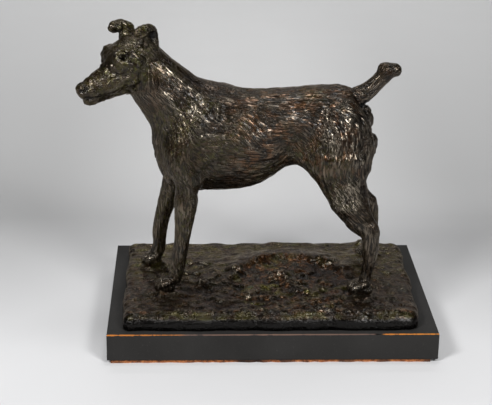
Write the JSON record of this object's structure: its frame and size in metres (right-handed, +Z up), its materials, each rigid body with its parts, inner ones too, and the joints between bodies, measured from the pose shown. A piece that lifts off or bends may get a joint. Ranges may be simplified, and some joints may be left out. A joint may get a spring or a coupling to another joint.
{
  "type": "dog sculpture",
  "caption": "Small bronze of a standing smooth-legged terrier with raised docked tail, on cast rough ground and a black rectangular board plinth.",
  "frame": {"origin": "middle of the plinth's underside", "axes": "+X from the head's end to the tail, +Y to the side away from the camera, +Z up"},
  "size_m": [0.3589, 0.2284, 0.3214],
  "materials": {
    "bronze": "cast bronze, dark brown patina with olive hollows",
    "board": "black-faced board, satin, worn brown along its upper edge",
    "lining": "torn orange-brown fibre sheet, matt"
  },
  "bodies": {
    "root": {"bronze_terrier": "bronze", "plinth_board": "board", "underside_lining": "lining"}
  },
  "joints": []
}
